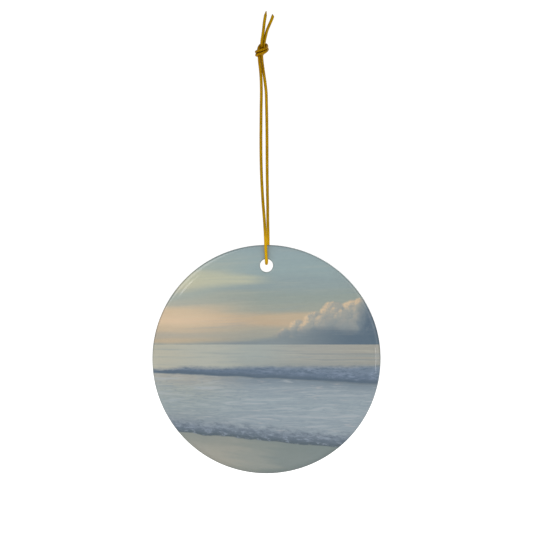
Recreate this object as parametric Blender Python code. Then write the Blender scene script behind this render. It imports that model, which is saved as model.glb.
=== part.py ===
"""A flat round glazed ceramic ornament that hangs on a doubled gold cord.

Metres, +Z up. The printed front of the disc faces -Y. The origin is the hang point, between the two
strands of the cord just under its knot. The cord is one length: it goes up from the hole at the front,
through the knot to the left tail, and up from the hole at the back, through the knot to the right tail.
Each stretch of it is an object of its own.
"""

import math

import bmesh
import bpy
from mathutils import Matrix, Vector

# The disc
DISC_DIAMETER = 0.070
DISC_THICKNESS = 0.003
DISC_TOP_DROP = 0.0574
DISC_SIDE_SHIFT = 0.0019
EDGE_RADIUS = 0.0005
HOLE_DIAMETER = 0.004
HOLE_DROP = 0.0063
DISC_SEGMENTS = 96
HOLE_SEGMENTS = 48
EDGE_STEPS = 3
SHARP_ANGLE = math.radians(40)

# The cord
CORD_DIAMETER = 0.0008
LEG_OFFSET = 0.00215
BIGHT_DROP = 0.06095
BIGHT_STEPS = 10
CORD_STEP = 0.0022
CORD_ROUNDNESS = 2
CURVE_STEPS = 12
GAP = 0.0003
BEND_GAP = 0.00062

# Heights where the cord turns and flexes
TWIST_DROP = 0.0190
ROCK_DROP = 0.0350
LEG_CUT_DROP = 0.0545
SWING_DROP = 0.0626

# The knot
KNOT_CENTRE = (0.0004, 0.0, 0.0023)
KNOT_SIZE = (0.0031, 0.0026, 0.0034)
BAND_CENTRE = (0.0004, 0.0, 0.0019)
BAND_RADIUS = 0.0013
BAND_THICKNESS = 0.00075
BAND_TILT = math.radians(-24)
RING_DEPTH_SHARE = 0.7
COLLAR_CENTRE = (0.0008, 0.0, 0.0034)
COLLAR_RADIUS = 0.0009
COLLAR_THICKNESS = 0.00045
CORE_SEGMENTS = 24
CORE_RINGS = 14
RING_SEGMENTS = 28
RING_ROUNDNESS = 12

# Centre lines of the two strands from the knot down to the hole, and of the two tails up from the knot
FRONT_STRAND = [
    (-0.00040, -0.00035, 0.0),
    (0.00006, -0.00035, -0.0040),
    (0.00028, -0.00032, -0.0076),
    (0.00032, -0.00020, -0.0100),
    (0.00026, 0.0, -0.0150),
    (0.00021, 0.0, -0.0205),
    (0.00019, 0.0, -0.0260),
    (0.00024, 0.0, -0.0315),
    (0.00036, -0.00008, -0.0358),
    (0.00058, -0.00045, -0.0405),
    (0.00088, -0.00105, -0.0452),
    (0.00125, -0.00165, -0.0498),
    (0.00150, -0.00203, -0.0540),
    (0.00166, -LEG_OFFSET, -0.0580),
    (0.00180, -LEG_OFFSET, -BIGHT_DROP),
]
BACK_STRAND = [
    (0.00046, 0.00035, 0.0),
    (0.00096, 0.00035, -0.0040),
    (0.00148, 0.00032, -0.0076),
    (0.00175, 0.00020, -0.0100),
    (0.00192, 0.0, -0.0150),
    (0.00202, 0.0, -0.0205),
    (0.00206, 0.0, -0.0260),
    (0.00208, 0.0, -0.0315),
    (0.00211, 0.00008, -0.0358),
    (0.00218, 0.00045, -0.0405),
    (0.00226, 0.00105, -0.0452),
    (0.00230, 0.00165, -0.0498),
    (0.00238, 0.00203, -0.0540),
    (0.00236, LEG_OFFSET, -0.0580),
    (0.00200, LEG_OFFSET, -BIGHT_DROP),
]
LEFT_TAIL = [
    (0.00040, -0.00038, 0.0047),
    (0.00068, -0.00036, 0.0064),
    (0.00095, -0.00030, 0.0083),
    (0.00121, -0.00020, 0.0107),
    (0.00150, -0.00010, 0.0125),
    (0.00174, 0.0, 0.0139),
]
RIGHT_TAIL = [
    (0.00119, 0.00038, 0.0047),
    (0.00155, 0.00036, 0.0064),
    (0.00203, 0.00030, 0.0083),
    (0.00275, 0.00020, 0.0101),
    (0.00350, 0.00010, 0.0118),
    (0.00397, 0.0, 0.0131),
]

DISC_CENTRE = Vector((DISC_SIDE_SHIFT, 0.0, -DISC_TOP_DROP - DISC_DIAMETER / 2))
HOLE_CENTRE = Vector((DISC_SIDE_SHIFT, 0.0, -DISC_TOP_DROP - HOLE_DROP))


def clear_scene():
    for obj in list(bpy.data.objects):
        bpy.data.objects.remove(obj, do_unlink=True)


def material(name, colour, roughness, metallic=0.0, coat=0.0):
    made = bpy.data.materials.new(name)
    made.use_nodes = True
    shader = made.node_tree.nodes["Principled BSDF"]
    shader.inputs["Base Color"].default_value = (*colour, 1.0)
    shader.inputs["Roughness"].default_value = roughness
    shader.inputs["Metallic"].default_value = metallic
    shader.inputs["Coat Weight"].default_value = coat
    return made


def link(obj, finish, parent=None):
    """Puts the object in the scene with its material, and hangs it on its joint's empty where it stands."""
    if not obj.users_collection:
        bpy.context.scene.collection.objects.link(obj)
    obj.data.materials.clear()
    obj.data.materials.append(finish)
    if parent:
        obj.parent = parent
        obj.matrix_parent_inverse = parent.matrix_world.inverted()
    return obj


def joint_empty(name, place, parent=None):
    empty = bpy.data.objects.new(name, None)
    empty.empty_display_size = 0.003
    bpy.context.scene.collection.objects.link(empty)
    empty.location = place
    if parent:
        empty.parent = parent
        empty.matrix_parent_inverse = parent.matrix_world.inverted()
    bpy.context.view_layer.update()
    return empty


def arc(centre, radius, start, end, steps):
    """Points of a round stretch of a profile, from one angle to the other, in degrees."""
    angles = [math.radians(start + (end - start) * i / steps) for i in range(steps + 1)]
    return [(centre[0] + radius * math.cos(a), centre[1] + radius * math.sin(a)) for a in angles]


def turned(name, profile, segments):
    """A closed solid turned about its own Y axis, from (radius, height along Y) points."""
    mesh = bmesh.new()
    rings = []
    for radius, height in profile:
        turns = [2 * math.pi * i / segments for i in range(segments)]
        rings.append([mesh.verts.new((radius * math.cos(a), height, radius * math.sin(a))) for a in turns])
    for lower, upper in zip(rings, rings[1:]):
        for i in range(segments):
            j = (i + 1) % segments
            mesh.faces.new((lower[i], lower[j], upper[j], upper[i]))
    mesh.faces.new(rings[0])
    mesh.faces.new(rings[-1])
    bmesh.ops.recalc_face_normals(mesh, faces=mesh.faces)
    data = bpy.data.meshes.new(name)
    mesh.to_mesh(data)
    mesh.free()
    data.shade_smooth()
    data.set_sharp_from_angle(angle=SHARP_ANGLE)
    return bpy.data.objects.new(name, data)


def helper(obj):
    """A shape that only serves a Boolean."""
    if not obj.users_collection:
        bpy.context.scene.collection.objects.link(obj)
    obj.hide_render = True
    obj.display_type = "WIRE"
    return obj


def boolean(obj, other, operation):
    modifier = obj.modifiers.new(other.name, "BOOLEAN")
    modifier.operation = operation
    modifier.object = other


def disc_profile():
    half = DISC_THICKNESS / 2
    rim = DISC_DIAMETER / 2 - EDGE_RADIUS
    back = arc((rim, half - EDGE_RADIUS), EDGE_RADIUS, 90, 0, EDGE_STEPS)
    front = arc((rim, EDGE_RADIUS - half), EDGE_RADIUS, 0, -90, EDGE_STEPS)
    return back + front


def hole_profile():
    """The hole's cutter: straight through, and flared at both faces by the rounded edges."""
    half = DISC_THICKNESS / 2
    lip = HOLE_DIAMETER / 2 + EDGE_RADIUS
    back = arc((lip, half - EDGE_RADIUS), EDGE_RADIUS, 90, 180, EDGE_STEPS)
    front = arc((lip, EDGE_RADIUS - half), EDGE_RADIUS, 180, 270, EDGE_STEPS)
    return [(lip, half + GAP)] + back + front + [(lip, -half - GAP)]


def make_disc(finish, parent):
    disc = turned("ceramic_disc", disc_profile(), DISC_SEGMENTS)
    disc.location = DISC_CENTRE
    cutter = helper(turned("hole_cutter", hole_profile(), HOLE_SEGMENTS))
    cutter.location = HOLE_CENTRE
    boolean(disc, cutter, "DIFFERENCE")
    return link(disc, finish, parent)


def smooth_line(points):
    """A smooth curve through the points, read CURVE_STEPS times between each two."""
    points = [Vector(p) for p in points]
    chords = [b - a for a, b in zip(points, points[1:])]
    slopes = [chord.normalized() for chord in chords]
    tangents = [slopes[0]]
    for k in range(1, len(chords)):
        before, after = chords[k - 1].length, chords[k].length
        tangents.append((slopes[k - 1] * after + slopes[k] * before) / (before + after))
    tangents.append(slopes[-1])
    line = []
    for k, chord in enumerate(chords):
        for i in range(CURVE_STEPS):
            t = i / CURVE_STEPS
            leaving = tangents[k] * (chord.length * t * (1 - t) ** 2)
            arriving = tangents[k + 1] * (chord.length * t**2 * (t - 1))
            line.append(points[k] + chord * (t**2 * (3 - 2 * t)) + leaving + arriving)
    return line + [points[-1]]


def at_height(line, height):
    for a, b in zip(line, line[1:]):
        if min(a.z, b.z) <= height <= max(a.z, b.z):
            return a.lerp(b, (height - a.z) / (b.z - a.z))
    return min(line, key=lambda p: abs(p.z - height))


def between(strand, top, bottom):
    """Points of a strand from one height down to another, CORD_STEP apart."""
    line = smooth_line(strand)
    count = max(2, round((top - bottom) / CORD_STEP))
    return [at_height(line, top + (bottom - top) * i / count) for i in range(count + 1)]


def bight_line(bottom_of_cut):
    """The cord round the top edge of the hole: down at the front, a half circle, and up at the back."""
    front = between(FRONT_STRAND, bottom_of_cut, -BIGHT_DROP)
    back = between(BACK_STRAND, bottom_of_cut, -BIGHT_DROP)
    turn = []
    for i in range(1, BIGHT_STEPS):
        angle = math.pi * i / BIGHT_STEPS
        side = front[-1].x + (back[-1].x - front[-1].x) * i / BIGHT_STEPS
        turn.append(Vector((side, -LEG_OFFSET * math.cos(angle), -BIGHT_DROP - LEG_OFFSET * math.sin(angle))))
    return front + turn + back[::-1]


def make_tube(name, points, finish, parent):
    curve = bpy.data.curves.new(name, "CURVE")
    curve.dimensions = "3D"
    curve.bevel_depth = CORD_DIAMETER / 2
    curve.bevel_resolution = CORD_ROUNDNESS
    curve.use_fill_caps = True
    spline = curve.splines.new("POLY")
    spline.points.add(len(points) - 1)
    for point, place in zip(spline.points, points):
        point.co = (*place, 1.0)
    spline.use_smooth = True
    return link(bpy.data.objects.new(name, curve), finish, parent)


def make_strands(finish, top, middle, bottom):
    """The four rigid stretches of each strand, cut where the cord twists and where it bends."""
    for side, strand in (("front", FRONT_STRAND), ("back", BACK_STRAND)):
        upper = between(strand, 0.0, -TWIST_DROP + GAP / 2)
        make_tube(f"{side}_strand_upper", upper, finish, top)
        centre = between(strand, -TWIST_DROP - GAP / 2, -ROCK_DROP + BEND_GAP / 2)
        make_tube(f"{side}_strand_middle", centre, finish, middle)
        lower = between(strand, -ROCK_DROP - BEND_GAP / 2, -LEG_CUT_DROP + GAP / 2)
        make_tube(f"{side}_strand_lower", lower, finish, bottom)
    make_tube("cord_bight", bight_line(-LEG_CUT_DROP - GAP / 2), finish, bottom)


def make_tails(finish, parent):
    for name, route in (("tail_left", LEFT_TAIL), ("tail_right", RIGHT_TAIL)):
        make_tube(name, route, finish, parent)


def ring(name, centre, radius, thickness, tilt):
    bpy.ops.mesh.primitive_torus_add(
        major_segments=RING_SEGMENTS,
        minor_segments=RING_ROUNDNESS,
        major_radius=radius,
        minor_radius=thickness,
    )
    obj = bpy.context.object
    obj.name = name
    flattened = Matrix.Diagonal((1.0, RING_DEPTH_SHARE, 1.0, 1.0))
    obj.matrix_world = Matrix.Translation(centre) @ Matrix.Rotation(tilt, 4, "Y") @ flattened
    return helper(obj)


def make_knot(finish, parent):
    """The overhand knot as one plain lump: a core, the collar round the tails and the band across the front."""
    bpy.ops.mesh.primitive_uv_sphere_add(segments=CORE_SEGMENTS, ring_count=CORE_RINGS, radius=0.5)
    knot = bpy.context.object
    knot.name = "cord_knot"
    knot.data.transform(Matrix.Diagonal((*KNOT_SIZE, 1.0)))
    knot.data.shade_smooth()
    knot.location = KNOT_CENTRE
    band = ring("knot_band", BAND_CENTRE, BAND_RADIUS, BAND_THICKNESS, BAND_TILT)
    collar = ring("knot_collar", COLLAR_CENTRE, COLLAR_RADIUS, COLLAR_THICKNESS, 0.0)
    boolean(knot, band, "UNION")
    boolean(knot, collar, "UNION")
    return link(knot, finish, parent)


def main():
    clear_scene()
    glaze = material("printed_glazed_ceramic", (0.33, 0.39, 0.40), roughness=0.12, coat=1.0)
    gold = material("gold_cord", (0.48, 0.30, 0.03), roughness=0.42, metallic=0.7)
    hang_point = joint_empty("hang_point", (0.0, 0.0, 0.0))
    twist_axis = joint_empty("twist_axis", (DISC_SIDE_SHIFT, 0.0, -TWIST_DROP), hang_point)
    rock_axis = joint_empty("rock_axis", (DISC_SIDE_SHIFT, 0.0, -ROCK_DROP), twist_axis)
    swing_axis = joint_empty("swing_axis", (DISC_SIDE_SHIFT, 0.0, -SWING_DROP), rock_axis)
    make_disc(glaze, swing_axis)
    make_strands(gold, hang_point, twist_axis, rock_axis)
    make_tails(gold, hang_point)
    make_knot(gold, hang_point)


main()
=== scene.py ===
"""A round glazed ceramic ornament, printed on its front, on a doubled and knotted gold cord."""

import math

import bpy
import numpy as np
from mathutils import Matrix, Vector


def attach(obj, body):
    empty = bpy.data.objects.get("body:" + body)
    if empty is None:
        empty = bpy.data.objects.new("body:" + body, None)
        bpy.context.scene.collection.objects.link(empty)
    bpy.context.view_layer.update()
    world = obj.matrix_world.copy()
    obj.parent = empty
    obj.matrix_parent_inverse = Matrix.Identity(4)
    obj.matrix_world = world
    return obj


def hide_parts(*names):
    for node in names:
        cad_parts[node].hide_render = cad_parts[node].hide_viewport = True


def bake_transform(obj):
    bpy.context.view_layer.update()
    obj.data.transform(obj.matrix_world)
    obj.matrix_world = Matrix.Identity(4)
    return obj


MM = 0.001

# The disc, as part.py has it.
DISC_X = 0.0019
DISC_Z = -0.0924
DISC_RADIUS = 0.0350
HALF_THICKNESS = 0.0015
HOLE_Z = -0.0637
HOLE_RADIUS = 0.0020

# The cord, as part.py has it.
LEG_OFFSET = 0.00215
BIGHT_DROP = 0.06095
CORD_CUT_DROP = 0.0310
FRONT_STRAND = [
    (-0.00040, -0.00035, 0.0),
    (0.00006, -0.00035, -0.0040),
    (0.00028, -0.00032, -0.0076),
    (0.00032, -0.00020, -0.0100),
    (0.00026, 0.0, -0.0150),
    (0.00021, 0.0, -0.0205),
    (0.00019, 0.0, -0.0260),
    (0.00024, 0.0, -0.0315),
    (0.00036, -0.00008, -0.0358),
    (0.00058, -0.00045, -0.0405),
    (0.00088, -0.00105, -0.0452),
    (0.00125, -0.00165, -0.0498),
    (0.00150, -0.00203, -0.0540),
    (0.00166, -LEG_OFFSET, -0.0580),
    (0.00180, -LEG_OFFSET, -BIGHT_DROP),
]
BACK_STRAND = [
    (0.00046, 0.00035, 0.0),
    (0.00096, 0.00035, -0.0040),
    (0.00148, 0.00032, -0.0076),
    (0.00175, 0.00020, -0.0100),
    (0.00192, 0.0, -0.0150),
    (0.00202, 0.0, -0.0205),
    (0.00206, 0.0, -0.0260),
    (0.00208, 0.0, -0.0315),
    (0.00211, 0.00008, -0.0358),
    (0.00218, 0.00045, -0.0405),
    (0.00226, 0.00105, -0.0452),
    (0.00230, 0.00165, -0.0498),
    (0.00238, 0.00203, -0.0540),
    (0.00236, LEG_OFFSET, -0.0580),
    (0.00200, LEG_OFFSET, -BIGHT_DROP),
]
LEFT_TAIL = [
    (0.00040, -0.00038, 0.0047),
    (0.00068, -0.00036, 0.0064),
    (0.00095, -0.00030, 0.0083),
    (0.00121, -0.00020, 0.0107),
    (0.00150, -0.00010, 0.0125),
    (0.00174, 0.0, 0.0139),
]
RIGHT_TAIL = [
    (0.00119, 0.00038, 0.0047),
    (0.00155, 0.00036, 0.0064),
    (0.00203, 0.00030, 0.0083),
    (0.00275, 0.00020, 0.0101),
    (0.00350, 0.00010, 0.0118),
    (0.00397, 0.0, 0.0131),
]
# The overhand knot: up under the band, round behind the tails, down across the front
# as the band, behind the standing strands, and up between them. In millimetres.
FRONT_KNOT = [
    (-0.45, -0.40, 1.00),
    (-0.48, -0.25, 2.00),
    (-0.40, 0.10, 3.00),
    (-0.25, 0.55, 3.85),
    (0.25, 1.05, 4.40),
    (0.95, 1.25, 4.60),
    (1.65, 0.95, 4.40),
    (2.12, 0.25, 3.75),
    (2.00, -0.55, 3.05),
    (1.35, -1.10, 2.50),
    (0.40, -1.35, 2.15),
    (-0.60, -1.10, 1.90),
    (-1.20, -0.35, 1.75),
    (-1.05, 0.50, 1.65),
    (-0.40, 1.05, 1.65),
    (0.25, 0.80, 1.90),
    (0.50, 0.20, 2.60),
    (0.40, -0.25, 3.40),
    (0.38, -0.40, 4.10),
]
BACK_KNOT = [
    (0.42, -0.30, 1.00),
    (0.25, 0.10, 2.00),
    (0.10, 0.75, 2.90),
    (0.45, 1.55, 3.50),
    (1.30, 1.70, 3.60),
    (2.00, 1.10, 3.30),
    (2.35, 0.20, 2.80),
    (2.15, -0.55, 2.15),
    (1.50, -1.00, 1.50),
    (0.55, -1.25, 1.15),
    (-0.55, -1.00, 0.85),
    (-1.20, -0.25, 0.70),
    (-0.95, 0.60, 0.75),
    (-0.10, 1.00, 0.80),
    (0.80, 0.85, 1.10),
    (1.25, 0.30, 1.80),
    (1.25, 0.15, 2.80),
    (1.17, 0.30, 3.80),
]


def colour(red, green, blue):
    """A colour written as a display value from 0 to 255, as the linear one that shaders take."""
    values = np.array([red, green, blue], float) / 255
    linear = np.where(values <= 0.04045, values / 12.92, ((values + 0.055) / 1.055) ** 2.4)
    return (*linear.tolist(), 1.0)


# Nodes ----------------------------------------------------------------------------------


class Wire:
    """A node's output that can be added, subtracted and multiplied like a number."""

    def __init__(self, pen, socket):
        self.pen = pen
        self.socket = socket

    def __add__(self, other):
        return self.pen.math("ADD", self, other)

    def __radd__(self, other):
        return self.pen.math("ADD", other, self)

    def __sub__(self, other):
        return self.pen.math("SUBTRACT", self, other)

    def __rsub__(self, other):
        return self.pen.math("SUBTRACT", other, self)

    def __mul__(self, other):
        return self.pen.math("MULTIPLY", self, other)

    def __rmul__(self, other):
        return self.pen.math("MULTIPLY", other, self)

    def __truediv__(self, other):
        return self.pen.math("DIVIDE", self, other)


class Pen:
    """Writes nodes into one material."""

    def __init__(self, name):
        self.material = bpy.data.materials.new(name)
        self.material.use_nodes = True
        self.tree = self.material.node_tree
        self.shader = self.tree.nodes["Principled BSDF"]

    def node(self, kind, **settings):
        made = self.tree.nodes.new(kind)
        for name, value in settings.items():
            setattr(made, name, value)
        return made

    def put(self, socket, value):
        if isinstance(value, Wire):
            self.tree.links.new(value.socket, socket)
        else:
            socket.default_value = value

    def set(self, name, value):
        self.put(self.shader.inputs[name], value)

    def math(self, operation, *values):
        made = self.node("ShaderNodeMath", operation=operation)
        for socket, value in zip(made.inputs, values):
            self.put(socket, value)
        return Wire(self, made.outputs[0])

    def highest(self, *values):
        top = values[0]
        for value in values[1:]:
            top = self.math("MAXIMUM", top, value)
        return top

    def step(self, low, high, value):
        """Rises smoothly from 0 at low to 1 at high, or falls where low is above high."""
        made = self.node("ShaderNodeMapRange", interpolation_type="SMOOTHSTEP")
        for name, x in (("Value", value), ("From Min", low), ("From Max", high)):
            self.put(made.inputs[name], x)
        return Wire(self, made.outputs[0])

    def mix(self, share, first, second, blend="MIX"):
        made = self.node("ShaderNodeMix", data_type="RGBA", blend_type=blend)
        for index, value in ((0, share), (6, first), (7, second)):
            self.put(made.inputs[index], value)
        return Wire(self, made.outputs[2])

    def ramp(self, value, low, high, stops):
        """A colour that runs through stops, (value, colour), as value goes from low to high."""
        made = self.node("ShaderNodeValToRGB")
        made.color_ramp.interpolation = "EASE"
        elements = made.color_ramp.elements
        while len(elements) < len(stops):
            elements.new(0.5)
        for element, (at, shade) in zip(elements, stops):
            element.position = (at - low) / (high - low)
            element.color = shade
        self.put(made.inputs[0], (value - low) / (high - low))
        return Wire(self, made.outputs[0])

    def point(self, x, y, z=0.0):
        made = self.node("ShaderNodeCombineXYZ")
        for socket, value in zip(made.inputs, (x, y, z)):
            self.put(socket, value)
        return Wire(self, made.outputs[0])

    def noise(self, x, y, z=0.0, detail=3.0, rough=0.5, swirl=0.0):
        """Cloudy noise about 0, mostly from -0.3 to 0.3."""
        made = self.node("ShaderNodeTexNoise", noise_dimensions="3D")
        self.put(made.inputs["Vector"], self.point(x, y, z))
        made.inputs["Scale"].default_value = 1.0
        made.inputs["Detail"].default_value = detail
        made.inputs["Roughness"].default_value = rough
        made.inputs["Distortion"].default_value = swirl
        return Wire(self, made.outputs[0]) - 0.5

    def axes(self, kind, output):
        source = self.node(kind)
        made = self.node("ShaderNodeSeparateXYZ")
        self.tree.links.new(source.outputs[output], made.inputs[0])
        return [Wire(self, socket) for socket in made.outputs]

    def bump(self, height, strength, distance):
        made = self.node("ShaderNodeBump")
        made.inputs["Strength"].default_value = strength
        made.inputs["Distance"].default_value = distance
        self.put(made.inputs["Height"], height)
        return Wire(self, made.outputs[0])


# The printed picture: a plain stretch of sea, sky and sand. u and v are millimetres right and
# up from the disc's centre, and so are the places in all of its ramps and steps.
HORIZON = 4.55


def sky(pen, u, v):
    drift = pen.noise(u * 0.03, v * 0.14, detail=4.0)
    height = v + drift * 2.6
    tilted = height - (u + 27.0) * 0.17 * pen.step(15.0, 21.0, v)
    left = pen.ramp(tilted, 4, 36, [
        (4.7, colour(160, 163, 154)),
        (5.9, colour(188, 172, 148)),
        (7.3, colour(177, 170, 155)),
        (9.0, colour(200, 181, 155)),
        (11.6, colour(219, 193, 163)),
        (14.8, colour(210, 188, 159)),
        (17.2, colour(175, 176, 163)),
        (19.3, colour(166, 174, 166)),
        (22.2, colour(194, 190, 166)),
        (24.8, colour(183, 186, 167)),
        (28.5, colour(163, 175, 169)),
        (33.0, colour(152, 168, 168)),
    ])
    right = pen.ramp(height, 4, 36, [
        (4.7, colour(124, 137, 146)),
        (5.7, colour(148, 154, 149)),
        (7.4, colour(160, 160, 150)),
        (9.3, colour(168, 164, 150)),
        (11.4, colour(191, 171, 146)),
        (13.2, colour(190, 172, 146)),
        (15.0, colour(158, 163, 153)),
        (19.0, colour(150, 161, 155)),
        (23.0, colour(147, 162, 163)),
        (28.0, colour(150, 168, 170)),
        (35.0, colour(150, 168, 172)),
    ])
    base = pen.mix(pen.step(-30.0, 0.0, u + drift * 9.0), left, right)
    slant = pen.math("ABSOLUTE", v - 24.5 + drift * 3.0)
    reach = pen.step(7.0, -21.0, u + drift * 8.0)
    glow = pen.step(1.3 + 2.9 * reach, 0.3, slant) * pen.step(0.0, 0.5, reach)
    base = pen.mix(glow * 0.8, base, colour(191, 192, 168))
    wisps = pen.noise(u * 0.035 + 5.0, v * 0.75 - u * 0.03, 53.0, detail=4.0, rough=0.6)
    base = pen.mix(pen.step(0.0, 0.25, wisps) * 0.28, base, colour(136, 155, 163))
    base = pen.mix(pen.step(0.0, -0.25, wisps) * 0.16, base, colour(196, 190, 170))
    return base


def lobe(pen, u, v, x, y, radius):
    """How far inside a circle the point lies."""
    across = u - x
    up = v - y
    return radius - pen.math("SQRT", across * across + up * up)


# The cloud's heaps, farthest first: their centres and radii.
HEAPS = [
    (32.0, 13.0, 6.4), (26.4, 13.4, 4.8), (20.4, 13.6, 4.2), (29.4, 15.6, 3.4),
    (14.6, 11.4, 3.4), (23.4, 12.0, 3.4), (9.4, 9.4, 2.8), (17.4, 11.0, 2.8),
    (12.2, 8.8, 2.8), (19.6, 9.6, 3.4), (24.6, 8.8, 4.0), (5.4, 7.6, 2.0), (31.0, 8.0, 7.0),
]


def cumulus(pen, u, v, behind):
    """The bank of cloud: heaps lit from the upper left, in shade to the right and below."""
    puffs = pen.noise(u * 0.34, v * 0.34, 3.0, detail=4.0, rough=0.6)
    beside = pen.noise(u * 0.34 + 0.18, v * 0.34 - 0.15, 3.0, detail=4.0, rough=0.6)
    relief = puffs - beside
    outline = pen.math("MINIMUM", u * 0.72 + 5.0, u * 0.10 + 16.2)
    depth = outline - v + puffs * 4.0
    sunny = 1.0 - 0.85 * pen.step(1.6, 6.8, depth)
    rightward = u - 29.0 + (16.0 - v) * 0.32
    downward = 9.4 - v + (u - 14.0) * 0.10
    shade = pen.highest(
        pen.step(-2.0, 1.6, rightward + puffs * 5.0),
        pen.step(-2.2, 2.0, downward + puffs * 7.0) * 0.72,
        pen.step(2.6, 9.6, depth) * 0.78,
    )
    deep = pen.highest(pen.step(-1.5, 4.5, rightward + puffs * 3.0), pen.step(0.0, 5.0, downward))
    slate = pen.mix(deep, colour(128, 140, 146), colour(92, 110, 126))
    slate = pen.mix(pen.step(-0.1, 0.2, relief) * 0.22, slate, colour(152, 158, 159))
    whole = behind
    for x, y, radius in HEAPS:
        inside = lobe(pen, u, v, x, y, radius) + puffs * 1.9
        facing = ((x - u) * 0.78 + (v - y) * 0.62) / radius * 0.8 + relief * 2.2
        lit = pen.mix(pen.step(-0.8, 0.35, facing), colour(134, 144, 147), colour(163, 163, 155))
        lit = pen.mix(pen.step(0.20, 0.85, facing) * sunny, lit, colour(214, 189, 158))
        body = pen.mix(shade, lit, slate)
        whole = pen.mix(pen.step(-0.30, 0.60, inside), whole, body)
    under = pen.mix(pen.step(0.0, 29.0, u), colour(132, 143, 147), colour(92, 110, 125))
    streak = pen.noise(u * 0.05, v * 1.1, 51.0)
    under = pen.mix(pen.step(0.0, 0.3, streak) * 0.35, under, colour(138, 148, 152))
    lift = pen.step(-16.0, 17.0, u)
    gap = pen.step(7.0, 2.0, pen.math("ABSOLUTE", u - 17.5))
    top = 4.3 + 3.9 * lift + gap * 0.9 + puffs * 1.4
    base = pen.step(top + 0.5 + 1.6 * lift, top - 0.3 - 1.3 * lift, v + streak * 3.0 * lift)
    return pen.mix(base, whole, under)


def far_sea(pen, u, v):
    streaks = pen.noise(u * 0.045, v * 1.25, 7.0, detail=4.0, rough=0.55)
    base = pen.ramp(u + streaks * 14.0, -36, 36, [
        (-34.0, colour(181, 179, 164)),
        (-18.0, colour(176, 178, 168)),
        (-4.0, colour(162, 169, 165)),
        (14.0, colour(162, 163, 157)),
        (34.0, colour(159, 158, 150)),
    ])
    base = pen.mix(pen.step(0.02, 0.20, streaks) * 0.45, base, colour(142, 153, 154))
    base = pen.mix(pen.step(-0.04, -0.22, streaks) * 0.40, base, colour(187, 184, 168))
    wander = pen.noise(u * 0.09, 4.0, 9.0) * 1.8
    swell = pen.step(0.42, 0.0, pen.math("ABSOLUTE", v - 0.75 - wander))
    swell = swell * pen.step(-0.15, 0.25, pen.noise(u * 0.12, v * 0.4, 13.0))
    base = pen.mix(swell * 0.45, base, colour(136, 152, 156))
    trough = pen.step(1.4, -2.6, v) * pen.step(-24.0, 6.0, u)
    base = pen.mix(trough * 0.42, base, colour(136, 144, 143))
    for level, start in ((1.65, 2.0), (-0.15, 8.0)):
        line = pen.step(0.40, 0.05, pen.math("ABSOLUTE", v - level - wander * 0.4))
        line = line * pen.step(start, start + 9.0, u + streaks * 30.0)
        base = pen.mix(line * 0.42, base, colour(126, 138, 144))
    return base


def breaker(pen, u, v):
    """The farther, dark blue wave: (its colour, how much it covers, how far above its foot)."""
    roll = pen.noise(u * 0.09, v * 0.2, 5.0)
    foot = -5.7 - u * 0.050 + roll * 1.3
    crest = -2.5 + u * 0.010 + roll * 1.8
    flecks = pen.noise(u * 0.42, v * 1.25, 11.0, detail=6.0, rough=0.7, swirl=0.2)
    body = pen.ramp(v - foot, -1, 8, [
        (-0.4, colour(110, 124, 134)),
        (0.4, colour(86, 103, 119)),
        (1.6, colour(100, 117, 136)),
        (3.6, colour(112, 128, 145)),
        (6.5, colour(124, 139, 150)),
    ])
    foam = pen.step(-0.05, 0.18, flecks) * (0.30 + 0.50 * pen.step(-14.0, 22.0, u))
    patches = pen.step(-0.22, 0.10, pen.noise(u * 0.18, v * 0.5, 57.0))
    body = pen.mix(foam * patches * pen.step(0.2, 1.8, v - foot), body, colour(140, 154, 176))
    body = pen.mix(pen.step(0.0, -0.18, flecks) * 0.55, body, colour(78, 97, 115))
    soft = 0.35 + pen.step(0.0, 30.0, u)
    cover = pen.step(foot - soft, foot + 0.2, v + flecks * 0.5)
    cover = cover * pen.step(crest + 1.0, crest - 0.7, v + flecks * 1.6)
    return body, cover, v - foot


def shallows(pen, u, v, rise):
    """The pale water between the two waves."""
    strokes = pen.noise(u * 0.085, v * 0.95, 17.0, detail=3.0, rough=0.5, swirl=0.6)
    finer = pen.noise(u * 0.22, v * 1.9, 19.0, detail=4.0, rough=0.6, swirl=0.4)
    left = pen.ramp(rise + strokes * 2.0, -16, 0, [
        (-15.0, colour(141, 151, 156)),
        (-9.0, colour(151, 162, 163)),
        (-5.0, colour(159, 166, 162)),
        (-0.5, colour(169, 167, 158)),
    ])
    right = pen.ramp(rise + strokes * 2.0, -16, 0, [
        (-15.0, colour(149, 161, 169)),
        (-7.0, colour(151, 164, 171)),
        (-3.0, colour(146, 158, 166)),
        (-0.6, colour(122, 136, 147)),
    ])
    base = pen.mix(pen.step(-27.0, 0.0, u + finer * 12.0), left, right)
    base = pen.mix(pen.step(0.02, 0.20, strokes) * 0.50, base, colour(131, 146, 157))
    base = pen.mix(pen.step(-0.02, -0.20, strokes) * 0.55, base, colour(171, 178, 184))
    ridge = pen.step(0.045, 0.0, pen.math("ABSOLUTE", strokes + finer * 0.3))
    base = pen.mix(ridge * 0.34, base, colour(118, 135, 148))
    blush = pen.step(0.02, 0.22, pen.noise(u * 0.1, v * 0.7, 23.0)) * pen.step(0.0, 0.2, finer)
    base = pen.mix(blush * 0.6, base, colour(178, 171, 172))
    base = pen.mix(pen.step(-0.02, -0.20, finer) * 0.42, base, colour(132, 147, 158))
    return pen.mix(pen.step(0.04, 0.22, finer) * 0.30, base, colour(178, 184, 188))


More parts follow.
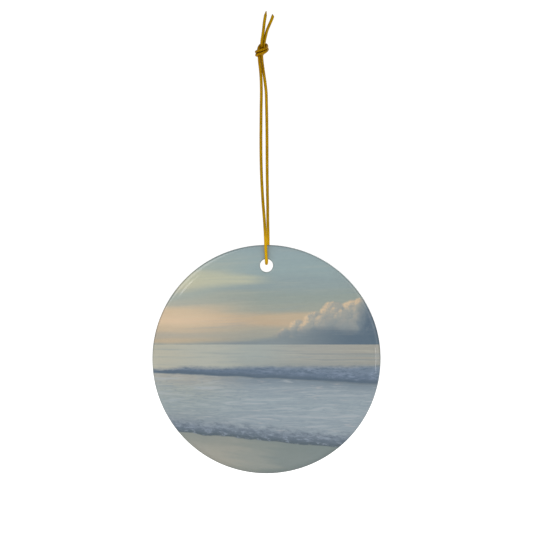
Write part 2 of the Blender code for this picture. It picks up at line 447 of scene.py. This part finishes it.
def surf(pen, u, v, water):
    """The nearer, low wave: (the water with it drawn over, how far above its foot)."""
    roll = pen.noise(u * 0.12, v * 0.1, 29.0, detail=4.0)
    rise = v - (-24.9 - u * 0.100 + roll * 2.4)
    flecks = pen.noise(u * 0.42, v * 1.1 + u * 0.12, 31.0, detail=6.0, rough=0.7, swirl=0.3)
    body = pen.ramp(rise + flecks * 1.6, -1, 8, [
        (-0.6, colour(96, 107, 111)),
        (0.2, colour(82, 96, 104)),
        (1.2, colour(98, 112, 125)),
        (2.6, colour(115, 128, 141)),
        (5.0, colour(133, 145, 154)),
    ])
    body = pen.mix(pen.step(-0.02, 0.16, flecks) * 0.60, body, colour(148, 160, 176))
    body = pen.mix(pen.step(0.0, -0.16, flecks) * 0.60, body, colour(90, 105, 120))
    return pen.mix(pen.step(5.8, 2.0, rise + flecks * 7.0), water, body), rise


def sand(pen, u, v, rise):
    grain = pen.noise(u * 0.06, v * 0.45 + u * 0.07, 37.0, detail=5.0)
    base = pen.ramp(u + grain * 22.0 - v * 0.25, -30, 30, [
        (-24.0, colour(156, 157, 149)),
        (-8.0, colour(159, 158, 148)),
        (4.0, colour(145, 150, 144)),
        (14.0, colour(129, 139, 137)),
        (28.0, colour(126, 138, 138)),
    ])
    wet = pen.step(-5.5, 0.0, rise + grain * 3.0)
    return pen.mix(wet * 0.55, base, colour(121, 133, 131))


def picture(pen, u, v):
    above = cumulus(pen, u, v, sky(pen, u, v))
    wave, cover, rise = breaker(pen, u, v)
    water = pen.mix(pen.step(0.3, -0.3, rise), far_sea(pen, u, v), shallows(pen, u, v, rise))
    water = pen.mix(cover, water, wave)
    water, lap = surf(pen, u, v, water)
    ground = pen.mix(pen.step(0.15, -0.25, lap), water, sand(pen, u, v, lap))
    whole = pen.mix(pen.step(HORIZON - 0.08, HORIZON + 0.08, v), ground, above)
    brush = pen.noise(u * 0.45, v * 1.4, 41.0, detail=5.0, rough=0.7)
    return pen.mix(pen.step(-0.35, 0.35, brush) * 0.10, whole, colour(235, 235, 235), "OVERLAY")


PRINT_HAZE = 0.035  # what the glaze's reflections add, taken off the ink
RIM_MM = DISC_RADIUS / MM
LIP_MM = HOLE_RADIUS / MM


def printed_material():
    pen = Pen("printed_glaze")
    x, _, z = pen.axes("ShaderNodeTexCoord", "Object")
    u = (x - DISC_X) / MM
    v = (z - DISC_Z) / MM
    ink = picture(pen, u, v)
    out = pen.math("SQRT", u * u + v * v)
    lift = (HOLE_Z - DISC_Z) / MM
    ring = pen.math("SQRT", u * u + (v - lift) * (v - lift))
    # Painted shade: the ink darkens to a dark grey-green in a thin band along the rim and, more
    # weakly, round the hole's lip.
    rim_shade = pen.step(RIM_MM - 0.55, RIM_MM - 0.05, out)
    hole_shade = pen.step(LIP_MM + 0.45, LIP_MM + 0.05, ring)
    edge_shade = pen.highest(rim_shade, hole_shade * 0.6)
    ink = pen.mix(edge_shade * 0.45, ink, colour(62, 76, 74))
    tone = pen.node("ShaderNodeVectorMath", operation="SUBTRACT")
    pen.put(tone.inputs[0], ink)
    tone.inputs[1].default_value = (PRINT_HAZE,) * 3
    pen.set("Base Color", Wire(pen, tone.outputs[0]))
    pen.set("Roughness", 0.32 + 0.10 * pen.noise(u * 0.8, v * 0.8, 43.0))
    pen.set("Specular IOR Level", 0.25)
    pen.set("Coat Weight", 1.0)
    pen.set("Coat Roughness", 0.05)
    ripples = pen.noise(u * 0.22, v * 0.22, 47.0, detail=2.0)
    pen.set("Coat Normal", pen.bump(ripples, 0.25, 0.00006))
    return pen.material


def glaze_material():
    pen = Pen("white_glaze")
    x, y, z = pen.axes("ShaderNodeTexCoord", "Object")
    across, deep, up = (axis / MM for axis in (x, y, z))
    cloud = pen.noise(across * 0.05, deep * 0.3, up * 0.05, detail=2.0)
    speck = pen.noise(across * 2.2, deep * 2.2, up * 2.2, detail=2.0)
    base = pen.mix(pen.step(-0.3, 0.3, cloud), colour(236, 235, 231), colour(241, 241, 238))
    base = pen.mix(pen.step(0.24, 0.30, speck) * 0.35, base, colour(206, 203, 195))
    pen.set("Base Color", base)
    pen.set("Roughness", 0.18 + 0.10 * cloud)
    pen.set("Coat Weight", 1.0)
    pen.set("Coat Roughness", 0.04)
    pen.set("Subsurface Weight", 0.08)
    pen.shader.inputs["Subsurface Radius"].default_value = (1.0, 0.9, 0.8)
    pen.shader.inputs["Subsurface Scale"].default_value = 0.0006
    dimples = pen.noise(across * 0.9, deep * 0.9, up * 0.9, detail=2.0)
    pen.set("Normal", pen.bump(dimples, 0.30, 0.00003))
    return pen.material


# Cord -----------------------------------------------------------------------------------

CARRIERS = 4.0  # yarns that wind each way round the braid
STITCH = 0.60  # millimetres of cord for each crossing
YARN_RADIUS = 0.00044  # the yarns stand a little proud of the plain tube in part.py
RELIEF = 0.14  # how far the yarns stand, as a share of the cord's radius
CROWN = 0.45  # how much a yarn rises where it crosses over another
MID_HEIGHT = 0.75  # taken off, so that the height is about 0 on average
FIBRES = 5  # fine lines across each yarn
HALF_CORD = 91.2  # millimetres from a tail's tip to the foot of the loop
RING_STEP = 0.075
RING_POINTS = 20


def braid_height(turn, along):
    """The braid's surface from -1 to 1, where turn is in turns and along is in millimetres."""
    a = turn * CARRIERS + along / STITCH
    b = turn * CARRIERS - along / STITCH
    i, j = np.floor(a), np.floor(b)
    round_a = np.sqrt(np.clip(1 - (2 * (a - i) - 1) ** 2, 0, 1))
    round_b = np.sqrt(np.clip(1 - (2 * (b - j) - 1) ** 2, 0, 1))
    first = CROWN * np.sin(np.pi * (b + i)) + round_a
    second = -CROWN * np.sin(np.pi * (a + j)) + round_b
    return np.maximum(first, second) - MID_HEIGHT


def cord_material():
    pen = Pen("gold_yarn")
    turn, along, _ = pen.axes("ShaderNodeUVMap", "UV")
    a = turn * CARRIERS + along / STITCH
    b = turn * CARRIERS - along / STITCH
    i = pen.math("FLOOR", a)
    j = pen.math("FLOOR", b)
    first = CROWN * pen.math("SINE", math.pi * (b + i))
    second = -CROWN * pen.math("SINE", math.pi * (a + j))
    over = pen.step(-0.1, 0.1, first - second)
    fine_a = pen.math("SINE", a * (2 * math.pi * FIBRES))
    fine_b = pen.math("SINE", b * (2 * math.pi * FIBRES))
    fibres = fine_b + (fine_a - fine_b) * over
    attribute = pen.node("ShaderNodeAttribute", attribute_name="braid")
    height = Wire(pen, attribute.outputs["Fac"])
    tint = pen.noise(turn * 3.0, along * 0.35, 3.0, detail=4.0)
    gold = pen.mix(pen.step(-0.3, 0.3, tint), colour(156, 116, 0), colour(190, 148, 0))
    # Painted highlight: a lighter gold along the raised fine lines across each yarn.
    gold = pen.mix(pen.step(0.3, 1.0, fibres) * 0.20, gold, colour(208, 168, 20))
    middle = pen.math("ABSOLUTE", along - HALF_CORD)
    knotted = pen.step(57.0, 62.0, middle)
    # Painted shade: the gold is darker through the knot, where its strands crowd together.
    gold = pen.mix(knotted * pen.step(84.0, 80.0, middle) * 0.6, gold, colour(164, 114, 0))
    # Painted light: the gold turns brighter and yellower on the stretch about the foot of the
    # loop, where it passes through the hole.
    gold = pen.mix(pen.step(13.0, 7.0, middle), gold, colour(226, 176, 8))
    # Painted shade: where the braid is low, between the yarns, the gold turns dark brown, darkest
    # inside the knot.
    crevice_shade = pen.mix(knotted, colour(108, 78, 0), colour(26, 13, 0))
    pen.set("Base Color", pen.mix(pen.step(-0.60, 0.50, height), crevice_shade, gold))
    pen.set("Metallic", 0.60 + 0.25 * knotted)
    pen.set("Roughness", 0.40 + 0.16 * tint - 0.08 * knotted)
    pen.set("Specular IOR Level", 0.08)
    pen.set("Normal", pen.bump(fibres, 0.5, 0.00002))
    return pen.material


SPAN_SAMPLES = 24


def smooth_line(points, step):
    """Points a step apart on a smooth curve through the given ones."""
    points = np.array(points, float)
    chords = np.diff(points, axis=0)
    spans = np.linalg.norm(chords, axis=1)[:, None]
    slopes = chords / spans
    inner = (slopes[:-1] * spans[1:] + slopes[1:] * spans[:-1]) / (spans[:-1] + spans[1:])
    tangents = np.vstack([slopes[:1], inner, slopes[-1:]])
    t = np.linspace(0, 1, SPAN_SAMPLES, endpoint=False)[:, None]
    rise = t**2 * (3 - 2 * t)
    pieces = []
    for k, span in enumerate(spans):
        leaving = t * (1 - t) ** 2 * span * tangents[k]
        arriving = t**2 * (t - 1) * span * tangents[k + 1]
        pieces.append(points[k] + rise * chords[k] + leaving + arriving)
    dense = np.vstack(pieces + [points[-1:]])
    gone = np.concatenate([[0], np.cumsum(np.linalg.norm(np.diff(dense, axis=0), axis=1))])
    wanted = np.linspace(0, gone[-1], max(2, round(gone[-1] / step)) + 1)
    return np.stack([np.interp(wanted, gone, axis) for axis in dense.T], axis=1)


KNOT_STEP = 0.18
KNOT_CLEARANCE = 0.82
KNOT_ROUNDS = 500
KNOT_FOOT = -4.0
KNOT_HEAD = 6.4
NEIGHBOURS = 1.35  # millimetres of one strand within which its points don't push each other
PUSH = 0.30
STRAIGHTEN = 0.35
RETURN = 0.010


def tighten(front, back):
    """Both strands of the knot, pushed apart. Coils still sink a little into each other, as
    soft yarn does in a tight knot."""
    split = len(front)
    line = np.vstack([front, back])
    home = line.copy()
    count = len(line)
    index = np.arange(count)
    strand = (index >= split).astype(int)
    near = (np.abs(index[:, None] - index[None]) * KNOT_STEP < NEIGHBOURS) & (
        strand[:, None] == strand[None]
    )
    ends = np.minimum(index - split * strand, np.where(strand == 0, split, count) - 1 - index)
    free = np.clip((ends - 2) / 4.0, 0, 1)[:, None]
    for _ in range(KNOT_ROUNDS):
        apart = line[:, None] - line[None]
        distance = np.linalg.norm(apart, axis=2) + 1e-9
        lacking = (KNOT_CLEARANCE - distance) / distance
        push = np.where(near | (distance > KNOT_CLEARANCE), 0, lacking)
        pushers = np.maximum(1, (push > 0).sum(1))[:, None]
        move = PUSH * (apart * push[..., None]).sum(1) / pushers
        bend = np.zeros_like(line)
        for low, high in ((0, split), (split, count)):
            part = line[low:high]
            bend[low + 1 : high - 1] = (part[:-2] + part[2:]) / 2 - part[1:-1]
        line = line + free * (move + STRAIGHTEN * bend + RETURN * (home - line))
    return line[:split], line[split:]


def cord_line():
    """The cord's centreline in millimetres, from the left tail's tip to the right one's."""
    front, back, left, right = (
        np.array(points) / MM for points in (FRONT_STRAND, BACK_STRAND, LEFT_TAIL, RIGHT_TAIL)
    )
    angles = np.radians(np.arange(30, 180, 30))[:, None]
    share = angles / math.pi
    bight = np.hstack([
        front[-1, 0] + (back[-1, 0] - front[-1, 0]) * share,
        -LEG_OFFSET / MM * np.cos(angles),
        -BIGHT_DROP / MM - LEG_OFFSET / MM * np.sin(angles),
    ])
    route = [left[::-1], FRONT_KNOT[::-1], front, bight, back[::-1], BACK_KNOT, right]
    line = smooth_line(np.vstack(route), KNOT_STEP)
    height = line[:, 2]
    lowest = height.argmin()
    knot = np.flatnonzero((height > KNOT_FOOT) & (height < KNOT_HEAD))
    first, second = knot[knot < lowest], knot[knot > lowest]
    line[first], line[second] = tighten(line[first], line[second])
    return smooth_line(line, RING_STEP)


def carried_frames(line):
    """Two directions across the line at each point, turned as little as possible on the way."""
    ahead = np.gradient(line, axis=0)
    ahead /= np.linalg.norm(ahead, axis=1)[:, None]
    side = np.empty_like(line)
    side[0] = np.cross(ahead[0], (0.0, 1.0, 0.0))
    for k in range(1, len(line)):
        side[k] = side[k - 1] - ahead[k] * np.dot(side[k - 1], ahead[k])
        side[k] /= np.linalg.norm(side[k])
    return ahead, side, np.cross(ahead, side)


def mesh_object(name, points, faces, material):
    mesh = bpy.data.meshes.new(name)
    mesh.from_pydata(np.asarray(points).tolist(), [], faces)
    mesh.materials.append(material)
    mesh.polygons.foreach_set("use_smooth", [True] * len(mesh.polygons))
    mesh.update()
    made = bpy.data.objects.new(name, mesh)
    bpy.context.scene.collection.objects.link(made)
    return made


def braided_piece(name, line, gone, frames, material, tips):
    """A closed braided tube in metres round one stretch of the line, which is in millimetres."""
    ahead, side, up = frames
    rings = len(line)
    angles = np.arange(RING_POINTS) * 2 * math.pi / RING_POINTS
    height = braid_height(angles[None] / (2 * math.pi), gone[:, None])
    radius = YARN_RADIUS / MM * (1 + RELIEF * height)
    cosines, sines = (f(angles)[None, :, None] for f in (np.cos, np.sin))
    out = cosines * side[:, None] + sines * up[:, None]
    points = line[:, None] + out * radius[..., None]
    for end, cut in tips.items():
        points = cut_tip(points, line, ahead, end, *cut)
    points = points.reshape(-1, 3)
    caps = np.array([points[:RING_POINTS].mean(0), points[-RING_POINTS:].mean(0)])
    faces = []
    for k in range(rings - 1):
        for m in range(RING_POINTS):
            n = (m + 1) % RING_POINTS
            low, high = k * RING_POINTS, (k + 1) * RING_POINTS
            faces.append((low + m, low + n, high + n, high + m))
    first, last = rings * RING_POINTS, rings * RING_POINTS + 1
    for m in range(RING_POINTS):
        n = (m + 1) % RING_POINTS
        faces.append((first, n, m))
        faces.append((last, (rings - 1) * RING_POINTS + m, (rings - 1) * RING_POINTS + n))
    made = mesh_object(name, np.vstack([points, caps]) * MM, faces, material)
    paint_tube(made, rings, gone, height)
    return made


def cut_tip(points, line, ahead, end, slope, taper, turned, span):
    """The tube's end cut at a slant: the rings near it lean towards the turned direction."""
    points = points.copy()
    order = range(span) if end == 0 else range(len(line) - 1, len(line) - 1 - span, -1)
    outward = -ahead[0] if end == 0 else ahead[-1]
    lean = np.array(turned, float) - outward * np.dot(turned, outward)
    lean /= np.linalg.norm(lean)
    for step, k in enumerate(order):
        share = (1 - step / span) ** 2
        offset = points[k] - line[k]
        points[k] = line[k] + offset * (1 - taper * share)
        points[k] += outward * (offset @ lean)[:, None] * slope * share
    return points


def paint_tube(made, rings, gone, height):
    """The UV map in turns and millimetres, and the braid's height, for the yarn material."""
    mesh = made.data
    values = np.concatenate([height.ravel(), [height.min()] * 2])
    braid = mesh.attributes.new("braid", "FLOAT", "POINT")
    braid.data.foreach_set("value", values.astype(np.float32))
    corner = np.empty(len(mesh.loops), np.int32)
    mesh.loops.foreach_get("vertex_index", corner)
    ring, place = corner // RING_POINTS, corner % RING_POINTS
    sides = (rings - 1) * RING_POINTS * 4
    wraps = np.zeros(len(corner), bool)
    quads = place[:sides].reshape(-1, 4)
    closing = (quads.max(1) == RING_POINTS - 1) & (quads.min(1) == 0)
    wraps[:sides] = (closing[:, None] & (quads == 0)).ravel()
    turn = (place + np.where(wraps, RING_POINTS, 0)) / RING_POINTS
    along = gone[np.clip(ring, 0, rings - 1)]
    layer = mesh.uv_layers.new(name="yarn")
    layer.data.foreach_set("uv", np.stack([turn, along], 1).astype(np.float32).ravel())


def make_cords():
    line = cord_line()
    gone = np.concatenate([[0], np.cumsum(np.linalg.norm(np.diff(line, axis=0), axis=1))])
    frames = carried_frames(line)
    material = cord_material()
    below = np.flatnonzero(line[:, 2] < -CORD_CUT_DROP / MM)
    first, last = below[0], below[-1]
    tips = {
        "cord_left": {0: (1.0, 0.60, (0.05, -1, 0), 15)},
        "cord_right": {1: (0.6, 0.12, (-1, 0, 0), 8)},
    }
    spans = {
        "cord_left": (0, first + 1),
        "cord_lower": (first, last + 1),
        "cord_right": (last, len(line)),
    }
    made = {}
    for name, (low, high) in spans.items():
        part = slice(low, high)
        cut = [f[part] for f in frames]
        made[name] = braided_piece(name, line[part], gone[part], cut, material, tips.get(name, {}))
        made[name]["length_mm"] = float(gone[high - 1] - gone[low])
        print(name, "length", round(made[name]["length_mm"], 2), "mm")
    declare_cords(made)
    print("whole cord", round(float(gone[-1]), 1), "mm")


def declare_cords(made):
    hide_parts("tail_left", "cord_knot")
    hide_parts("front_strand_upper", "front_strand_middle")
    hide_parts("tail_right", "back_strand_upper", "back_strand_middle")
    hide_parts("front_strand_lower", "back_strand_lower", "cord_bight")
    for name in ("cord_left", "cord_right"):
        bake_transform(made[name])
    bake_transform(made["cord_lower"])


# Disc -----------------------------------------------------------------------------------

# How far in from the rim each ring of the shoulder lies, and how far back from the face.
SHOULDER = [
    (3.70, 0.0), (3.00, 0.010), (2.40, 0.045), (1.90, 0.095), (1.40, 0.170), (0.90, 0.290),
    (0.50, 0.460), (0.22, 0.700), (0.06, 1.000), (0.0, 1.350),
]
SHOULDER_STEP = 0.16
HOLE_LIP = 0.00045
FACE_RINGS = 10
LIP_RINGS = 5
RIM_TURN = 1.25  # degrees
HOLE_TURN = 5.0
HOLE_START = 0.4
LEAST_TURN = 0.15
PRINT_PROUD = 0.00002
PRINT_DEEP = 0.00012


def face_rays():
    """Directions from the hole's centre, close together both round the hole and round the rim."""
    lift = HOLE_Z - DISC_Z
    rim = np.radians(np.arange(0, 360, RIM_TURN))
    to_rim = np.arctan2(DISC_RADIUS * np.sin(rim) - lift, DISC_RADIUS * np.cos(rim))
    round_hole = np.radians(np.arange(HOLE_START, 360, HOLE_TURN))
    rays = np.sort(np.concatenate([to_rim, round_hole]) % (2 * math.pi))
    turns = np.diff(rays, append=rays[0] + 2 * math.pi)
    return rays[turns > math.radians(LEAST_TURN)]


def ring_of(rays, radius):
    """Where the rays from the hole's centre meet the circle of that radius about the disc's."""
    lift = HOLE_Z - DISC_Z
    x, z = np.cos(rays), np.sin(rays)
    reach = -lift * z + np.sqrt(radius**2 - (lift * x) ** 2)
    return np.stack([DISC_X + x * reach, HOLE_Z + z * reach], 1)


def hole_ring(rays, radius):
    return np.stack([DISC_X + np.cos(rays) * radius, HOLE_Z + np.sin(rays) * radius], 1)


def half_profile(rays):
    """Rings from inside the hole over the face to the rim: (x and z, depth from the face)."""
    rings = []
    for k in range(LIP_RINGS):
        angle = math.pi / 2 * k / LIP_RINGS
        back = HOLE_LIP * (1 - math.sin(angle))
        rings.append((hole_ring(rays, HOLE_RADIUS + HOLE_LIP * (1 - math.cos(angle))), back))
    inner = hole_ring(rays, HOLE_RADIUS + HOLE_LIP)
    shoulder = smooth_line([(a, b, 0) for a, b in SHOULDER], SHOULDER_STEP)
    outer = ring_of(rays, DISC_RADIUS - shoulder[0, 0] * MM)
    for k in range(FACE_RINGS):
        share = k / FACE_RINGS
        rings.append((inner + (outer - inner) * share, 0.0))
    for inset, back, _ in shoulder:
        rings.append((ring_of(rays, DISC_RADIUS - inset * MM), back * MM))
    return rings


def stack(rings):
    return np.array([np.insert(flat, 1, deep, axis=1) for flat, deep in rings])


def looped_faces(rings, count):
    """Quads over rings that are joined into a closed ring of rings."""
    faces = []
    for k in range(rings):
        low, high = k * count, (k + 1) % rings * count
        for m in range(count):
            n = (m + 1) % count
            faces.append((low + m, high + m, high + n, low + n))
    return faces


def disc_body(material):
    rays = face_rays()
    half = half_profile(rays)
    front = [(flat, -HALF_THICKNESS + back) for flat, back in half]
    rear = [(flat, HALF_THICKNESS - back) for flat, back in reversed(half)]
    rings = stack(front + rear)
    points = rings.reshape(-1, 3)
    faces = looped_faces(len(rings), len(rays))
    made = mesh_object("glazed_body", points, faces, material)
    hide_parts("ceramic_disc")
    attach(made, "disc")


def disc_print(material):
    """A thin skin over the front, from the hole's lip to the rim."""
    rays = face_rays()
    half = half_profile(rays)
    rings = stack([(flat, -HALF_THICKNESS + back) for flat, back in half])
    along = np.gradient(rings, axis=0)
    around = np.roll(rings, -1, axis=1) - np.roll(rings, 1, axis=1)
    out = np.cross(around, along)
    out /= np.linalg.norm(out, axis=2)[..., None]
    on_face = out[LIP_RINGS + FACE_RINGS // 2]
    if on_face[:, 1].mean() > 0:  # the print faces -Y
        out = -out
    skin = rings + out * PRINT_PROUD
    under = (rings - out * PRINT_DEEP)[::-1]
    under[0, :, :] = rings[-1] - out[-1] * PRINT_DEEP
    points = np.vstack([skin.reshape(-1, 3), under.reshape(-1, 3)])
    faces = looped_faces(2 * len(rings), len(rays))
    made = mesh_object("printed_face", points, faces, material)
    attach(made, "disc")


# Studio ---------------------------------------------------------------------------------

FRAME_WIDTH = 0.1629
LENS = 100.0
SENSOR = 36.0
VIEW_Z = -0.0640
FLOOR_Z = -0.18
FLOOR_REACH = 3.9
DOME_RADIUS = 4.0
DOME_TURN = 15  # degrees


def make_camera():
    data = bpy.data.cameras.new("camera")
    data.lens = LENS
    data.sensor_width = SENSOR
    data.clip_start = 0.01
    camera = bpy.data.objects.new("camera", data)
    camera.location = (DISC_X, -HALF_THICKNESS - FRAME_WIDTH * LENS / SENSOR, VIEW_Z)
    camera.rotation_euler = (math.pi / 2, 0, 0)
    bpy.context.scene.collection.objects.link(camera)
    bpy.context.scene.camera = camera


def soft_light(name, place, target, size, radiance):
    """A rectangular light that looks as bright as radiance from straight in front."""
    data = bpy.data.lights.new(name, "AREA")
    data.shape = "RECTANGLE"
    data.size, data.size_y = size
    data.energy = radiance * math.pi * size[0] * size[1]
    light = bpy.data.objects.new(name, data)
    light.location = place
    light.visible_camera = False
    toward = Vector(target) - Vector(place)
    light.rotation_euler = toward.to_track_quat("-Z", "Y").to_euler()
    bpy.context.scene.collection.objects.link(light)


def make_world():
    world = bpy.data.worlds.new("studio")
    bpy.context.scene.world = world
    world.use_nodes = True
    tree = world.node_tree
    background = tree.nodes["Background"]
    coordinates = tree.nodes.new("ShaderNodeTexCoord")
    split = tree.nodes.new("ShaderNodeSeparateXYZ")
    fade = tree.nodes.new("ShaderNodeMapRange")
    fade.interpolation_type = "SMOOTHSTEP"
    tree.links.new(coordinates.outputs["Generated"], split.inputs[0])
    tree.links.new(split.outputs["Y"], fade.inputs["Value"])
    for name, value in (("From Min", -0.6), ("From Max", 0.7), ("To Min", 0.58), ("To Max", 0.36)):
        fade.inputs[name].default_value = value
    tree.links.new(fade.outputs[0], background.inputs["Strength"])
    background.inputs["Color"].default_value = (1, 1, 1, 1)


def make_dome():
    """A plain white surround. Only the camera sees it, so it doesn't light the ornament."""
    pen = Pen("surround")
    pen.set("Base Color", (0, 0, 0, 1))
    pen.set("Specular IOR Level", 0.0)
    pen.set("Emission Color", (1, 1, 1, 1))
    _, y, _ = pen.axes("ShaderNodeTexCoord", "Object")
    pen.set("Emission Strength", 0.86 + 0.19 * pen.step(-1.0, 1.2, y))
    around = np.radians(np.arange(0, 360, DOME_TURN))
    above = np.radians(np.arange(DOME_TURN - 90, 90, DOME_TURN))
    points = [(0, 0, -DOME_RADIUS)]
    for a in above:
        wide, high = DOME_RADIUS * math.cos(a), DOME_RADIUS * math.sin(a)
        points += [(wide * math.cos(b), wide * math.sin(b), high) for b in around]
    points.append((0, 0, DOME_RADIUS))
    count, last = len(around), len(points) - 1
    faces = []
    for m in range(count):
        n = (m + 1) % count
        faces.append((0, 1 + m, 1 + n))
        for k in range(len(above) - 1):
            low = 1 + k * count
            faces.append((low + m, low + count + m, low + count + n, low + n))
        faces.append((last - count + m, last, last - count + n))
    dome = mesh_object("surround", points, faces, pen.material)
    for ray in ("diffuse", "glossy", "transmission", "shadow"):
        setattr(dome, "visible_" + ray, False)


def make_floor():
    """A wide pale sheet below the ornament. It glows as painted light: not at all right under the
    ornament, more away from it, and more towards the back.
    """
    pen = Pen("studio_paper")
    x, y, _ = pen.axes("ShaderNodeTexCoord", "Object")
    fibre = pen.noise(x * 60.0, y * 60.0, detail=3.0)
    paper = pen.mix(pen.step(-0.3, 0.3, fibre), colour(232, 232, 232), colour(236, 236, 235))
    pen.set("Base Color", paper)
    pen.set("Roughness", 0.9)
    pen.set("Specular IOR Level", 0.0)
    pen.set("Emission Color", (1, 1, 1, 1))
    out = pen.math("SQRT", x * x + y * y)
    glow = 0.42 + 0.32 * pen.step(-0.3, 0.2, y)
    pen.set("Emission Strength", glow * pen.step(0.02, 0.19, out))
    far = FLOOR_REACH
    points = [(x, y, FLOOR_Z) for x, y in ((-far, -far), (far, -far), (far, far), (-far, far))]
    mesh_object("floor", points, [(0, 1, 2, 3)], pen.material)


def make_lights():
    centre = (DISC_X, 0, DISC_Z)
    soft_light("key", (-0.62, -0.70, 0.60), centre, (0.75, 0.75), 2.0)
    soft_light("fill", (0.70, -0.66, 0.12), centre, (0.50, 0.60), 0.8)
    soft_light("rear", (0.55, 0.80, 0.50), centre, (0.80, 0.80), 1.9)
    soft_light("left_glint", (-0.196, -0.76, 0.040), centre, (0.06, 0.06), 3.2)
    soft_light("right_glint", (0.352, -0.74, -0.140), centre, (0.04, 0.07), 5.0)


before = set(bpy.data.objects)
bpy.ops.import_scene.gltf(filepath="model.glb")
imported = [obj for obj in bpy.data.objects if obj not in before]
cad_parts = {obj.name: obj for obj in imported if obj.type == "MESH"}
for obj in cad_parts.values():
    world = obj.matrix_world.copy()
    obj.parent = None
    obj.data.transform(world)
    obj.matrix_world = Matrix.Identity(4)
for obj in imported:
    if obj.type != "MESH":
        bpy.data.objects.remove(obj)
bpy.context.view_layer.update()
bpy.context.scene.view_settings.view_transform = "Standard"
make_camera()
make_cords()
disc_body(glaze_material())
disc_print(printed_material())
make_floor()
make_dome()
make_world()
make_lights()
